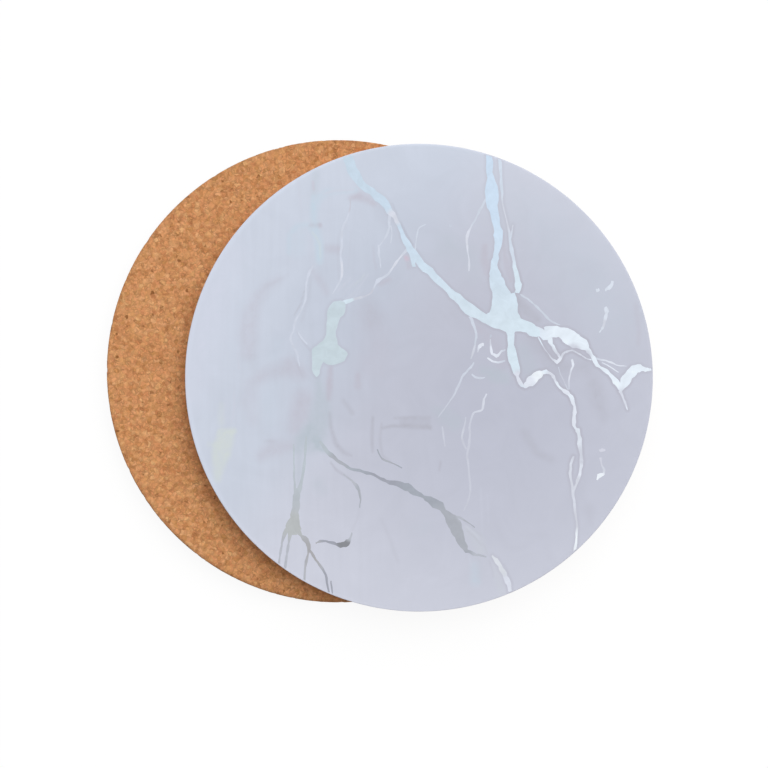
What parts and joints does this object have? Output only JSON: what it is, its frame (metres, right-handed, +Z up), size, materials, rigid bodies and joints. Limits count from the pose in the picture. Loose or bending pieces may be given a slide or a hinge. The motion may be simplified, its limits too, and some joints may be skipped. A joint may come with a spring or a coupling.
{
  "type": "drink coaster pair",
  "caption": "Round cork-backed drink coasters with a glossy marble face, veined with silver foil; one lies on the other and lifts off.",
  "frame": {"origin": "centre of the lower coaster's face that rests on the table", "axes": "+Z up out of the table, through both coasters; +X to the right in the picture, along which most of the overlap's offset runs; +Y away from the viewer, to the top of the picture"},
  "size_m": [0.1174, 0.1014, 0.01],
  "materials": {
    "cork": "matt pressed cork granules",
    "glue": "thin dried adhesive film",
    "hardboard": "pressed wood fibre, cut edge",
    "lacquer": "satin brown sealer on the cut edge",
    "marble_laminate": "glossy melamine laminate with a grey-lavender marble print",
    "icy_foil": "icy silver hot-stamped foil, satin",
    "pearl_foil": "pearl white hot-stamped foil, satin",
    "silver_foil": "silver hot-stamped foil, satin",
    "pewter_foil": "smoky pewter hot-stamped foil, satin"
  },
  "bodies": {
    "lower_coaster": {"lower_cork_pad": "cork", "lower_glue_film": "glue", "lower_core_board": "hardboard", "lower_edge_lacquer": "lacquer", "lower_decor_laminate": "marble_laminate", "lower_main_veins": "icy_foil", "lower_branch_veins": "pearl_foil", "lower_hairline_veins": "silver_foil", "lower_smoky_veins": "pewter_foil", "lower_foil_flecks": "pearl_foil"},
    "upper_coaster": {"upper_cork_pad": "cork", "upper_glue_film": "glue", "upper_core_board": "hardboard", "upper_edge_lacquer": "lacquer", "upper_decor_laminate": "marble_laminate", "upper_main_veins": "icy_foil", "upper_branch_veins": "pearl_foil", "upper_hairline_veins": "silver_foil", "upper_smoky_veins": "pewter_foil", "upper_foil_flecks": "pearl_foil"}
  },
  "joints": [
    {"name": "coaster_lift", "type": "slide", "parent": "lower_coaster", "child": "upper_coaster", "axis": [0, 0, 1], "range_m": [0, 0.06]}
  ]
}
